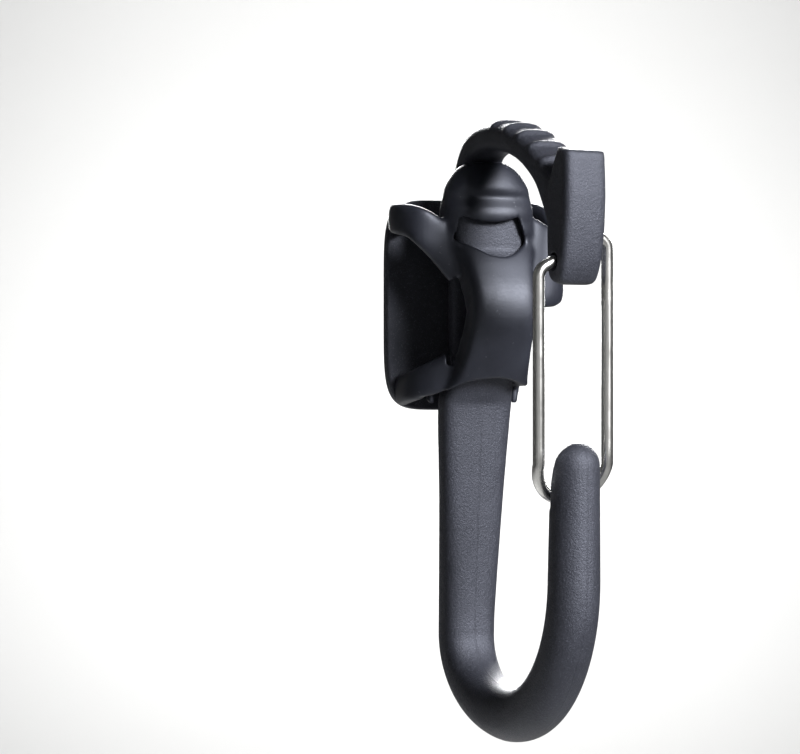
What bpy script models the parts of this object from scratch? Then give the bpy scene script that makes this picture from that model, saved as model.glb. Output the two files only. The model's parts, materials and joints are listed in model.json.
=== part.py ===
"""Harness gear carrier: a moulded hook with a wire gate, held on webbing by a rubber keeper.

Frame: metres, +Z up, +X out of the harness towards the gate, Y across the webbing's face.
The origin is the middle of the back plate's rear face, level with the webbing's middle.
"""

import math

import bmesh
import bpy
import numpy as np
from mathutils import Matrix, Vector

# ---- driving dimensions ----------------------------------------------------------------------
FIT_GAP = 0.0003               # between pieces that touch
RING_POINTS = 24               # points round a lofted section

# webbing that the carrier is made for, and the back plate behind it
WEBBING_HEIGHT = 0.0250
WEBBING_SLACK = 0.0010
PLATE_THICKNESS = 0.0020
PLATE_HALF_WIDTH = 0.0140
PLATE_EDGE = 0.0036            # from the middle of an arm's foot to the plate's end
PLATE_CORNER_RADIUS = 0.0050
PLATE_EDGE_RADIUS = 0.0005

# spine and prong
SPINE_FOOT_X = 0.0065          # middle of the spine where the basket starts
SPINE_TOP_X = 0.0100           # middle of the spine under the saddle's foot
PRONG_X = 0.0142               # middle of the prong
WAIST_X = 0.0172               # the spine is furthest forward at the waist
SPINE_TOP_Z = -0.0175
SPINE_LENGTH = 0.0430          # from there down to the basket
WAIST_Z = -0.0015
PRONG_LOW = 0.0113             # lower end of the prong's full width
PRONG_TOP = 0.0249
SPINE_HALF_WIDTH = 0.0070
SPINE_HALF_THICKNESS = 0.0031
FOOT_HALF_WIDTH = 0.0052
WAIST_HALF_WIDTH = 0.0044
PRONG_HALF_WIDTH = 0.0073

# basket and nose
BASKET_LOW_X = 0.0240          # where the basket is lowest
BASKET_DROP = 0.0134           # from the spine's foot down to the basket's middle line
BASKET_HALF_THICKNESS = 0.0048
LIMB_X = 0.0464                # middle of the limb at the gate's seat
LIMB_LEAN = 0.0004             # how much further in the limb stands where it leaves the basket
BASKET_RISE = 0.0254           # from the basket's lowest point to the foot of the limb
LIMB_RADIUS = 0.0046
NOSE_TOP = -0.0244
NOSE_LEAD_IN = 0.37            # how far the lead-in runs outwards for each unit that it rises

# arch and gate block
ARCH_HALF_WIDTH = 0.0041
ARCH_HALF_THICKNESS = 0.0026
ARCH_TOP = 0.0296              # middle line of the arch at its highest
ARCH_TOP_X = 0.0235
ARCH_LIMB_X = 0.0077           # middle of the limb that rises behind the prong
ARCH_LIMB_HALF_THICKNESS = 0.0016
BLOCK_TOP = 0.0261
BLOCK_BOTTOM = 0.0027
BLOCK_BACK_X = 0.0434
BLOCK_FRONT_X = 0.0509
BLOCK_HALF_WIDTH = 0.0042
RIB_COUNT = 5
RIB_RADIUS = 0.0023
RIB_HEIGHT = 0.0007            # how far a rib stands out of the arch
RIB_PITCH = 0.0045             # along the arch's middle line

# wire gate
WIRE_RADIUS = 0.00105
GATE_HALF_WIDTH = 0.00685      # middle of each leg from the carrier's middle plane
HINGE_X = 0.0457
HINGE_MIDDLE_Z = 0.0088
HINGE_OFFSET = 0.0044          # how much higher the far end sits, which makes the wire its own spring
HINGE_BEND_RADIUS = 0.0022
STUB_DEPTH = 0.0030            # how far each end reaches into the block
LOOP_TOP = -0.0284             # where the legs bend into the bottom loop
LOOP_LEAN = math.radians(25)   # the bottom loop leans back to pass behind the nose
SEAT_CLEARANCE = 0.0009        # between the loop's middle and the nose's seat, which the bends touch

# keeper
RUBBER_WALL = 0.0018
SADDLE_WALL = 0.0024
HOOD_WALL = 0.0012
KEEPER_FOOT = -0.0140          # lower edge of the saddle
HOOD_LIP = 0.0153              # lower edge of the hood
WINDOW_LOW = 0.0085            # lowest point of the window under the hood
SADDLE_DEPTH = 0.0046          # how far its side walls reach back from its front
ARM_HALF_HEIGHT = 0.0028
ARM_HALF_THICKNESS = 0.0013
ARM_FOOT_Y = 0.0108            # the arms' feet on the plate, from the middle plane
UPPER_ARM_SPREAD = 0.0150
LOWER_ARM_SPREAD = 0.0118
FAR_ARM_DROP = 0.0088          # the keeper sits twisted: its far upper arm sags by this much
FAR_ARM_REACH = 0.0020         # and stands this much further forward where it turns back
FAR_ARM_WEB = 2.3              # how much taller its root is, in half heights of an arm
FAR_ARM_TUCK = 0.0034          # its far lower arm is drawn in behind the spine by this much

# ---- derived ---------------------------------------------------------------------------------
HINGE_TILT = math.atan2(HINGE_OFFSET, 2 * BLOCK_HALF_WIDTH)
HINGE_AXIS = Vector((0, math.cos(HINGE_TILT), math.sin(HINGE_TILT)))
HINGE_POINT = Vector((HINGE_X, 0, HINGE_MIDDLE_Z))
FOOT_Z = SPINE_TOP_Z - SPINE_LENGTH
BASKET_LOW_Z = FOOT_Z - BASKET_DROP
LIMB_FOOT_Z = BASKET_LOW_Z + BASKET_RISE
LIMB_FOOT_X = LIMB_X - LIMB_LEAN
ARM_Z = (WEBBING_HEIGHT + WEBBING_SLACK) / 2 + ARM_HALF_HEIGHT
PLATE_HALF_HEIGHT = ARM_Z + PLATE_EDGE
SPINE_LINE_Z = (SPINE_TOP_Z + WAIST_Z) / 2


# ---- helpers ---------------------------------------------------------------------------------
def clear_scene():
    """Start from an empty scene."""
    for item in list(bpy.data.objects):
        bpy.data.objects.remove(item, do_unlink=True)
    for old in list(bpy.data.collections):
        bpy.data.collections.remove(old)


def new_collection(name):
    """A collection linked to the scene."""
    collection = bpy.data.collections.new(name)
    bpy.context.scene.collection.children.link(collection)
    return collection


def material(name, colour, roughness, metallic=0.0):
    """A plain Principled material."""
    made = bpy.data.materials.new(name)
    made.use_nodes = True
    shader = made.node_tree.nodes["Principled BSDF"]
    shader.inputs["Base Color"].default_value = (*colour, 1.0)
    shader.inputs["Roughness"].default_value = roughness
    shader.inputs["Metallic"].default_value = metallic
    return made


def mesh_object(name, mesh, collection, look=None):
    """An object for the mesh, shaded smooth except at real edges."""
    item = bpy.data.objects.new(name, mesh)
    collection.objects.link(item)
    mesh.shade_smooth()
    mesh.set_sharp_from_angle(angle=math.radians(35))
    if look is not None:
        mesh.materials.append(look)
    return item


def smooth_rows(knots, per_span):
    """Rows between the knots on a Catmull-Rom curve: each column is carried along it."""
    knots = np.asarray(knots, float)
    padded = np.vstack([2 * knots[0] - knots[1], knots, 2 * knots[-1] - knots[-2]])
    rows = []
    for a, b, c, d in zip(padded[:-3], padded[1:-2], padded[2:-1], padded[3:]):
        for t in np.arange(per_span) / per_span:
            rows.append(0.5 * (2 * b + (c - a) * t + (2 * a - 5 * b + 4 * c - d) * t * t
                               + (3 * b - a - 3 * c + d) * t ** 3))
    rows.append(knots[-1])
    return np.array(rows)


def loft(name, rows, across, collection, look=None):
    """A closed loft. Each row is x, y, z, half width, half thickness, squareness.

    The section stands square to the path. Its width lies along `across`, and a squareness of 2
    gives an ellipse, more gives flatter sides.
    """
    rows = np.asarray(rows, float)
    path = rows[:, :3]
    tangent = np.gradient(path, axis=0)
    tangent /= np.linalg.norm(tangent, axis=1, keepdims=True)
    width_axis = np.asarray(across, float) - tangent * (tangent @ np.asarray(across, float))[:, None]
    width_axis /= np.linalg.norm(width_axis, axis=1, keepdims=True)
    depth_axis = np.cross(tangent, width_axis)
    mesh = bmesh.new()
    rings = []
    for point, wide, deep, row in zip(path, width_axis, depth_axis, rows):
        ring = []
        for angle in np.arange(RING_POINTS) * 2 * math.pi / RING_POINTS:
            cosine = math.cos(angle)
            sine = math.sin(angle)
            along = math.copysign(abs(cosine) ** (2 / row[5]), cosine) * row[3]
            out = math.copysign(abs(sine) ** (2 / row[5]), sine) * row[4]
            ring.append(mesh.verts.new(point + wide * along + deep * out))
        rings.append(ring)
    for low, high in zip(rings[:-1], rings[1:]):
        for i in range(RING_POINTS):
            j = (i + 1) % RING_POINTS
            mesh.faces.new((low[i], low[j], high[j], high[i]))
    mesh.faces.new(rings[0])
    mesh.faces.new(rings[-1])
    bmesh.ops.recalc_face_normals(mesh, faces=mesh.faces)
    data = bpy.data.meshes.new(name)
    mesh.to_mesh(data)
    mesh.free()
    return mesh_object(name, data, collection, look)


def rounded_corners(corners, radii, steps=6):
    """Points along straight runs whose corners are arcs of the given radii (0 keeps a corner)."""
    points = [Vector(corners[0])]
    for before, corner, after, radius in zip(corners[:-2], corners[1:-1], corners[2:], radii):
        corner = Vector(corner)
        into = (corner - Vector(before)).normalized()
        out = (Vector(after) - corner).normalized()
        turn = into.angle(out)
        if radius == 0 or turn < 1e-6:
            points.append(corner)
            continue
        reach = radius * math.tan(turn / 2)
        start = corner - into * reach
        inward = (out - into * into.dot(out)).normalized()
        for k in range(steps + 1):
            swept = turn * k / steps
            points.append(start + into * radius * math.sin(swept) + inward * radius * (1 - math.cos(swept)))
    points.append(Vector(corners[-1]))
    return points


def prism(name, outline, half_width, collection, look=None, bevel=0.0):
    """An outline in the XZ plane, given thickness along Y."""
    mesh = bmesh.new()
    front = [mesh.verts.new((x, -half_width, z)) for x, z in outline]
    back = [mesh.verts.new((x, half_width, z)) for x, z in outline]
    mesh.faces.new(front)
    mesh.faces.new(back)
    for i in range(len(outline)):
        j = (i + 1) % len(outline)
        mesh.faces.new((front[i], front[j], back[j], back[i]))
    bmesh.ops.recalc_face_normals(mesh, faces=mesh.faces)
    data = bpy.data.meshes.new(name)
    mesh.to_mesh(data)
    mesh.free()
    item = mesh_object(name, data, collection, look)
    if bevel > 0:
        add_bevel(item, bevel)
    return item


def add_bevel(item, width, segments=2):
    """Round the real edges."""
    bevel = item.modifiers.new("round_edges", "BEVEL")
    bevel.width = width
    bevel.segments = segments
    bevel.limit_method = "ANGLE"
    bevel.angle_limit = math.radians(40)


def cylinder(name, start, end, radius, collection, sides=16):
    """A closed cylinder between two points."""
    start = Vector(start)
    end = Vector(end)
    mesh = bmesh.new()
    bmesh.ops.create_cone(mesh, cap_ends=True, segments=sides, radius1=radius, radius2=radius,
                          depth=(end - start).length)
    turn = (end - start).to_track_quat("Z", "Y").to_matrix().to_4x4()
    bmesh.ops.transform(mesh, matrix=Matrix.Translation((start + end) / 2) @ turn, verts=mesh.verts)
    data = bpy.data.meshes.new(name)
    mesh.to_mesh(data)
    mesh.free()
    return mesh_object(name, data, collection)


def boolean(item, other, operation):
    """Join to or cut with another object, with the exact solver."""
    step = item.modifiers.new(operation.lower() + "_" + other.name, "BOOLEAN")
    step.operation = operation
    step.object = other
    other.hide_render = True
    other.display_type = "WIRE"


def tube(name, points, radius, collection, look):
    """A wire: a bevelled poly curve with filled ends."""
    curve = bpy.data.curves.new(name, "CURVE")
    curve.dimensions = "3D"
    curve.bevel_depth = radius
    curve.bevel_resolution = 2
    curve.use_fill_caps = True
    spline = curve.splines.new("POLY")
    spline.points.add(len(points) - 1)
    for slot, point in zip(spline.points, points):
        slot.co = (*point, 1.0)
    curve.materials.append(look)
    item = bpy.data.objects.new(name, curve)
    collection.objects.link(item)
    return item


# ---- hook frame ------------------------------------------------------------------------------
def spine_rows(grow=0.0):
    """Prong, waist and spine from the top down; `grow` thickens the section evenly."""
    thick = SPINE_HALF_THICKNESS
    knots = [
        (PRONG_X, 0, PRONG_TOP, PRONG_HALF_WIDTH * 0.58, thick * 0.62, 2.4),
        (PRONG_X, 0, PRONG_TOP - 0.0022, PRONG_HALF_WIDTH * 0.84, thick * 0.84, 2.8),
        (PRONG_X, 0, PRONG_TOP - 0.0070, PRONG_HALF_WIDTH, thick * 0.90, 3.6),
        (PRONG_X - 0.0002, 0, PRONG_LOW, PRONG_HALF_WIDTH, thick * 0.92, 4),
        (WAIST_X - 0.0002, 0, (PRONG_LOW + WAIST_Z) / 2, WAIST_HALF_WIDTH * 1.15, thick * 0.95, 4),
        (WAIST_X, 0, WAIST_Z, WAIST_HALF_WIDTH, thick * 0.95, 4),
        (WAIST_X - 0.0030, 0, SPINE_LINE_Z, WAIST_HALF_WIDTH * 1.16, thick, 4),
        (SPINE_TOP_X + 0.0008, 0, SPINE_TOP_Z + 0.0020, SPINE_HALF_WIDTH * 0.96, thick, 4),
        (SPINE_TOP_X - 0.0004, 0, SPINE_TOP_Z - 0.0020, SPINE_HALF_WIDTH, thick, 4),
        (SPINE_TOP_X - 0.0016, 0, SPINE_TOP_Z - 0.4 * SPINE_LENGTH, SPINE_HALF_WIDTH * 0.88, thick, 4),
        (SPINE_FOOT_X + 0.0003, 0, SPINE_TOP_Z - 0.86 * SPINE_LENGTH, FOOT_HALF_WIDTH * 1.02,
         thick * 1.04, 3.6),
        (SPINE_FOOT_X, 0, FOOT_Z, FOOT_HALF_WIDTH, thick * 1.1, 3.2),
    ]
    rows = smooth_rows(knots, 4)
    rows[:, 3:5] += grow
    return rows


def basket_rows():
    """Two quarter ellipses, one down from the spine's foot and one up to the limb's foot."""
    steps = 10
    rows = []
    low_thickness = BASKET_HALF_THICKNESS
    foot_thickness = SPINE_HALF_THICKNESS * 1.1
    for k in range(1, steps + 1):
        angle = math.pi / 2 * k / steps
        share = k / steps
        rows.append((BASKET_LOW_X - (BASKET_LOW_X - SPINE_FOOT_X) * math.cos(angle), 0,
                     FOOT_Z - BASKET_DROP * math.sin(angle),
                     FOOT_HALF_WIDTH + (LIMB_RADIUS - FOOT_HALF_WIDTH) * share,
                     foot_thickness + (low_thickness - foot_thickness) * share,
                     3.2 - share))
    for k in range(1, steps + 1):
        angle = math.pi / 2 * k / steps
        rows.append((BASKET_LOW_X + (LIMB_FOOT_X - BASKET_LOW_X) * math.sin(angle), 0,
                     LIMB_FOOT_Z - BASKET_RISE * math.cos(angle),
                     LIMB_RADIUS, low_thickness + (LIMB_RADIUS - low_thickness) * k / steps,
                     2.2 - 0.2 * k / steps))
    return rows


def nose_rows():
    """The limb, leaning a little outwards, with a domed tip."""
    rows = []
    tip_radius = LIMB_RADIUS * 0.94
    shoulder = NOSE_TOP - tip_radius
    for k in (0.33, 0.67, 1.0):
        z = LIMB_FOOT_Z + (shoulder - LIMB_FOOT_Z) * k
        radius = LIMB_RADIUS + (tip_radius - LIMB_RADIUS) * k
        rows.append((LIMB_FOOT_X + LIMB_LEAN * k, 0, z, radius, radius, 2))
    for angle in (0.35, 0.7, 1.0, 1.25, 1.45):
        radius = tip_radius * math.cos(angle)
        rows.append((LIMB_X - 0.0005 * math.sin(angle), 0, shoulder + tip_radius * math.sin(angle),
                     radius, radius, 2))
    return rows


def arch_knots():
    """Middle line of the arch: up behind the prong, over it, and down into the gate block."""
    half = ARCH_HALF_THICKNESS
    limb = ARCH_LIMB_HALF_THICKNESS
    wide = ARCH_HALF_WIDTH
    return [
        (SPINE_TOP_X, 0, SPINE_TOP_Z - 0.0010, wide * 0.8, limb, 3.4),
        (ARCH_LIMB_X + 0.0006, 0, SPINE_LINE_Z, wide, limb, 3.4),
        (ARCH_LIMB_X, 0, 0.0025, wide, limb, 3.4),
        (ARCH_LIMB_X, 0, PRONG_LOW + 0.0050, wide, limb * 1.05, 3.4),
        (ARCH_LIMB_X + 0.0036, 0, ARCH_TOP - 0.0041, wide, half * 0.9, 3.4),
        (ARCH_TOP_X - 0.0080, 0, ARCH_TOP - 0.0006, wide, half, 3.4),
        (ARCH_TOP_X, 0, ARCH_TOP, wide, half, 3.4),
        (ARCH_TOP_X + 0.0085, 0, ARCH_TOP - 0.0023, wide, half, 3.4),
        (ARCH_TOP_X + 0.0155, 0, ARCH_TOP - 0.0066, wide, half * 1.04, 3.4),
        (ARCH_TOP_X + 0.0195, 0, ARCH_TOP - 0.0112, wide, half * 1.2, 3.4),
        (ARCH_TOP_X + 0.0225, 0, ARCH_TOP - 0.0170, wide, half * 1.2, 3.4),
    ]


def block_outline():
    """Side view of the gate block: a lip above the arch, a bellied front, rounded ends."""
    corners = [
        (BLOCK_BACK_X, 0, BLOCK_BOTTOM),
        (BLOCK_FRONT_X - 0.0031, 0, BLOCK_BOTTOM),
        (BLOCK_FRONT_X - 0.0006, 0, BLOCK_BOTTOM + 0.0085),
        (BLOCK_FRONT_X, 0, BLOCK_BOTTOM + 0.0160),
        (BLOCK_FRONT_X, 0, BLOCK_TOP),
        (BLOCK_FRONT_X - 0.0042, 0, BLOCK_TOP - 0.0003),
        (BLOCK_BACK_X - 0.0006, 0, BLOCK_TOP - 0.0046),
        (BLOCK_BACK_X - 0.0004, 0, BLOCK_BOTTOM + 0.0120),
    ]
    loop = [corners[-1], *corners, corners[0]]
    radii = [0.0012, 0.0022, 0.0060, 0.0060, 0.0012, 0.0012, 0, 0]
    rounded = rounded_corners(loop, radii, steps=3)[1:-1]
    return [(point.x, point.z) for point in rounded]


def rib_ends():
    """Middle points of the thumb ribs on the outer side of the arch's front half."""
    rows = smooth_rows(arch_knots(), 12)
    path = rows[:, (0, 2)]
    travelled = np.concatenate([[0], np.cumsum(np.linalg.norm(np.diff(path, axis=0), axis=1))])
    start = travelled[np.argmax(path[:, 1])]
    direction = np.gradient(path, axis=0)
    direction /= np.linalg.norm(direction, axis=1, keepdims=True)
    found = []
    for k in range(RIB_COUNT):
        at = start + k * RIB_PITCH
        middle = np.array([np.interp(at, travelled, path[:, i]) for i in (0, 1)])
        along = np.array([np.interp(at, travelled, direction[:, i]) for i in (0, 1)])
        outward = np.array([-along[1], along[0]])
        half = np.interp(at, travelled, rows[:, 4])
        found.append(middle + outward * (half + RIB_HEIGHT - RIB_RADIUS))
    return found


def build_hook_frame(parts, cutters, look):
    """One moulding: spine, basket and nose, with the arch, ribs and gate block joined on."""
    rows = np.vstack([spine_rows(), basket_rows(), nose_rows()])
    frame = loft("hook_frame", rows, (0, 1, 0), parts, look)
    arch = loft("arch_body", smooth_rows(arch_knots(), 4), (0, 1, 0), cutters)
    boolean(frame, arch, "UNION")
    block = prism("block_body", block_outline(), BLOCK_HALF_WIDTH, cutters, bevel=0.0009)
    boolean(frame, block, "UNION")
    reach = ARCH_HALF_WIDTH * 0.86
    for number, (x, z) in enumerate(rib_ends()):
        rib = cylinder(f"rib_body_{number}", (x, -reach, z), (x, reach, z), RIB_RADIUS, cutters, 16)
        boolean(frame, rib, "UNION")
    boolean(frame, nose_cutter(cutters), "DIFFERENCE")
    for side in (-1, 1):
        mouth = HINGE_POINT + HINGE_AXIS * side * (BLOCK_HALF_WIDTH / math.cos(HINGE_TILT) + 0.0020)
        floor = HINGE_POINT + HINGE_AXIS * side * (stub_inner_reach() - FIT_GAP)
        bore = cylinder(f"bore_{'near' if side < 0 else 'far'}", mouth, floor,
                        WIRE_RADIUS + FIT_GAP, cutters, 16)
        boolean(frame, bore, "DIFFERENCE")
    return frame


def nose_cutter(cutters):
    """A sloped lead-in on the nose's inner side, ending in the seat where the gate's loop rests."""
    loop_bottom_z = LOOP_TOP - GATE_HALF_WIDTH * math.cos(LOOP_LEAN)
    loop_back_x = HINGE_X - GATE_HALF_WIDTH * math.sin(LOOP_LEAN)
    seat_x = loop_back_x + WIRE_RADIUS + SEAT_CLEARANCE
    ledge_z = loop_bottom_z - WIRE_RADIUS - 1.5 * FIT_GAP
    lead_in_z = loop_bottom_z + WIRE_RADIUS + 0.0014
    rise = NOSE_TOP - lead_in_z
    outline = [
        (seat_x, ledge_z),
        (seat_x, lead_in_z),
        (seat_x + rise * NOSE_LEAD_IN, NOSE_TOP),
        (seat_x + rise * NOSE_LEAD_IN, NOSE_TOP + 0.0050),
        (LIMB_X - 3 * LIMB_RADIUS, NOSE_TOP + 0.0050),
        (LIMB_X - 3 * LIMB_RADIUS, ledge_z),
    ]
    return prism("nose_cutter", outline, 2 * LIMB_RADIUS, cutters)


# ---- wire gate -------------------------------------------------------------------------------
def stub_inner_reach():
    """Distance from the hinge's middle to each stub's inner end, along the hinge axis."""
    return BLOCK_HALF_WIDTH / math.cos(HINGE_TILT) - STUB_DEPTH


def gate_points():
    """The wire's route: near stub, near leg, bottom loop, far leg, far stub."""
    run = math.cos(HINGE_TILT)
    corner_reach = GATE_HALF_WIDTH / run
    near_end = HINGE_POINT - HINGE_AXIS * stub_inner_reach()
    near_corner = HINGE_POINT - HINGE_AXIS * corner_reach
    far_corner = HINGE_POINT + HINGE_AXIS * corner_reach
    far_end = HINGE_POINT + HINGE_AXIS * stub_inner_reach()
    near_foot = Vector((HINGE_X, -GATE_HALF_WIDTH, LOOP_TOP))
    far_foot = Vector((HINGE_X, GATE_HALF_WIDTH, LOOP_TOP))
    near = rounded_corners([near_end, near_corner, near_foot], [HINGE_BEND_RADIUS])
    far = rounded_corners([far_foot, far_corner, far_end], [HINGE_BEND_RADIUS])
    loop = []
    steps = 16
    for k in range(1, steps):
        angle = math.pi * k / steps
        drop = GATE_HALF_WIDTH * math.sin(angle)
        loop.append(Vector((HINGE_X - drop * math.sin(LOOP_LEAN), -GATE_HALF_WIDTH * math.cos(angle),
                            LOOP_TOP - drop * math.cos(LOOP_LEAN))))
    return near + loop + far


def build_wire_gate(parts, look):
    """One bent wire whose origin is on the line through its two ends."""
    gate = tube("wire_gate", [point - HINGE_POINT for point in gate_points()], WIRE_RADIUS, parts, look)
    gate.location = HINGE_POINT
    return gate


# ---- rubber keeper ---------------------------------------------------------------------------
def sleeve_rows():
    """Outer skin of the keeper, from the hood's crown down to the saddle's foot."""
    inner = spine_rows()
    rows = []
    for row in inner:
        if row[2] < KEEPER_FOOT:
            break
        rows.append(row.copy())
    rows = np.array(rows)
    in_hood = rows[:, 2] > HOOD_LIP - 0.0010
    rows[:, 3] += np.where(in_hood, HOOD_WALL, RUBBER_WALL)
    rows[:, 4] += np.where(in_hood, HOOD_WALL + 0.0004, SADDLE_WALL)
    rows[:, 5] = np.where(in_hood, 2.6, 3.2)
    return rows


def build_keeper(parts, cutters, look):
    """Hood, window, saddle and four arms in one moulding."""
    rows = sleeve_rows()
    crown = rows[0].copy()
    crown[2] += HOOD_WALL
    crown[3:5] *= 0.72
    keeper = loft("rubber_keeper", np.vstack([crown, rows]), (0, 1, 0), parts, look)
    boolean(keeper, back_cutter(cutters), "DIFFERENCE")
    for side in (-1, 1):
        for arm in arm_bodies(side, cutters):
            boolean(keeper, arm, "UNION")
    boolean(keeper, loft("keeper_cavity", cavity_rows(), (0, 1, 0), cutters), "DIFFERENCE")
    boolean(keeper, limb_cutter(cutters), "DIFFERENCE")
    boolean(keeper, window_cutter(cutters), "DIFFERENCE")
    boolean(keeper, plate_clearance(cutters), "DIFFERENCE")
    return keeper


def cavity_rows():
    """The spine's own shape with the fit gap, run on below the saddle."""
    rows = spine_rows(FIT_GAP)
    rows[0, 2] += FIT_GAP
    return rows


def back_cutter(cutters):
    """Leaves the saddle open at the back, up to the hood."""
    behind = SPINE_HALF_THICKNESS + SADDLE_WALL - SADDLE_DEPTH
    below = KEEPER_FOOT - 0.0040
    outline = [(-0.01, below), (SPINE_TOP_X + behind, below), (WAIST_X - 0.0030 + behind, SPINE_LINE_Z),
               (WAIST_X + behind, WAIST_Z), (PRONG_X + behind - 0.0020, HOOD_LIP - 0.0030),
               (-0.01, HOOD_LIP - 0.0030)]
    return prism("saddle_back_cutter", outline, 0.03, cutters)


def limb_cutter(cutters):
    """Clears the arch's limb where it rises behind the saddle."""
    rows = smooth_rows(arch_knots()[:7], 4)
    rows[:, 3:5] += 2 * FIT_GAP
    return loft("limb_clearance", rows, (0, 1, 0), cutters)


def plate_clearance(cutters):
    """Ends the arms flat, a fit gap in front of the plate."""
    face = PLATE_THICKNESS + FIT_GAP
    low = -2 * PLATE_HALF_HEIGHT
    high = 2 * PLATE_HALF_HEIGHT
    outline = [(-0.02, low), (face, low), (face, high), (-0.02, high)]
    return prism("plate_clearance", outline, 2 * PLATE_HALF_WIDTH, cutters)


def window_cutter(cutters):
    """Window under the hood, pointed at the bottom, in front of the prong."""
    mesh = bmesh.new()
    half = PRONG_HALF_WIDTH * 0.93
    outline = [(-half * 0.86, HOOD_LIP), (-half, HOOD_LIP - 0.0034), (0, WINDOW_LOW),
               (half, HOOD_LIP - 0.0034), (half * 0.86, HOOD_LIP)]
    near = [mesh.verts.new((PRONG_X, y, z)) for y, z in outline]
    far = [mesh.verts.new((PRONG_X + 0.012, y, z)) for y, z in outline]
    mesh.faces.new(near)
    mesh.faces.new(far)
    for i in range(len(outline)):
        j = (i + 1) % len(outline)
        mesh.faces.new((near[i], near[j], far[j], far[i]))
    bmesh.ops.recalc_face_normals(mesh, faces=mesh.faces)
    data = bpy.data.meshes.new("window_cutter")
    mesh.to_mesh(data)
    mesh.free()
    return mesh_object("window_cutter", data, cutters)


def arm_bodies(side, cutters):
    """Upper and lower arm on one side, from the saddle back to the plate.

    Rows are x, y, z, then the arm's height and thickness as shares of its half sizes.
    """
    inside_plate = PLATE_THICKNESS / 2
    saddle_y = WAIST_HALF_WIDTH + RUBBER_WALL
    drop = FAR_ARM_DROP if side > 0 else 0.0
    reach = FAR_ARM_REACH if side > 0 else 0.0
    tuck = FAR_ARM_TUCK if side > 0 else 0.0
    web = FAR_ARM_WEB if side > 0 else 0.0
    upper = [
        (WAIST_X + 0.0012, saddle_y - 0.0006, ARM_Z - 0.0085, 1.3 + web, 1.0),
        (WAIST_X - 0.0004, saddle_y + 0.0034, ARM_Z - 0.0050 - 0.5 * drop, 1.2 + 0.8 * web, 1.0),
        (WAIST_X - 0.0042 + reach, UPPER_ARM_SPREAD - 0.0010, ARM_Z - 0.0018 - drop, 1.0 + 0.2 * web, 1.0),
        (WAIST_X - 0.0098, UPPER_ARM_SPREAD, ARM_Z - 0.0002, 1.0, 1.0),
        (inside_plate, ARM_FOOT_Y, ARM_Z, 1.0, 1.3),
    ]
    lower = [
        (WAIST_X - 0.0030, saddle_y + 0.0004, 0.0040 - ARM_Z, 1.3, 1.0),
        (WAIST_X - 0.0052, saddle_y + 0.0034 - 0.6 * tuck, 0.0028 - ARM_Z, 1.1, 1.0),
        (WAIST_X - 0.0098, LOWER_ARM_SPREAD - tuck, 0.0008 - ARM_Z, 1.0, 1.0),
        (inside_plate, ARM_FOOT_Y - tuck, -ARM_Z, 1.0, 1.3),
    ]
    made = []
    for label, knots in (("upper", upper), ("lower", lower)):
        rows = [(x, side * y, z, ARM_HALF_HEIGHT * tall, ARM_HALF_THICKNESS * thick, 3.0)
                for x, y, z, tall, thick in knots]
        name = f"{label}_arm_{'near' if side < 0 else 'far'}"
        made.append(loft(name, smooth_rows(rows, 4), (0, 0, 1), cutters))
    return made


# ---- back plate ------------------------------------------------------------------------------
def build_back_plate(parts, look):
    """A rounded plate behind the webbing, with its rear face on X = 0."""
    half_y = PLATE_HALF_WIDTH
    half_z = PLATE_HALF_HEIGHT
    corners = [(0, -half_y, -half_z), (0, half_y, -half_z), (0, half_y, half_z), (0, -half_y, half_z)]
    loop = [corners[-1], *corners, corners[0]]
    rounded = rounded_corners(loop, [PLATE_CORNER_RADIUS] * 4, steps=6)[1:-1]
    mesh = bmesh.new()
    rear = [mesh.verts.new((0, p.y, p.z)) for p in rounded]
    front = [mesh.verts.new((PLATE_THICKNESS, p.y, p.z)) for p in rounded]
    mesh.faces.new(rear)
    mesh.faces.new(front)
    for i in range(len(rounded)):
        j = (i + 1) % len(rounded)
        mesh.faces.new((rear[i], rear[j], front[j], front[i]))
    bmesh.ops.recalc_face_normals(mesh, faces=mesh.faces)
    data = bpy.data.meshes.new("back_plate")
    mesh.to_mesh(data)
    mesh.free()
    plate = mesh_object("back_plate", data, parts, look)
    add_bevel(plate, PLATE_EDGE_RADIUS)
    return plate


def main():
    """Build the carrier."""
    clear_scene()
    parts = new_collection("harness_gear_carrier")
    cutters = new_collection("cutters")
    nylon = material("nylon", (0.028, 0.031, 0.038), 0.55)
    plate_nylon = material("plate_nylon", (0.022, 0.023, 0.026), 0.6)
    rubber = material("rubber", (0.014, 0.017, 0.024), 0.38)
    steel = material("stainless_wire", (0.62, 0.62, 0.60), 0.28, 1.0)
    build_hook_frame(parts, cutters, nylon)
    build_wire_gate(parts, steel)
    build_keeper(parts, cutters, rubber)
    build_back_plate(parts, plate_nylon)


main()
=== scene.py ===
"""Harness gear carrier: finished surfaces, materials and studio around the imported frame.

Every surface is a section carried along a path, worked out as whole numpy arrays. Sizes are in
metres, in the frame's own axes: +X out of the harness, +Y across the webbing, +Z up.
"""

import json
import math

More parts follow.
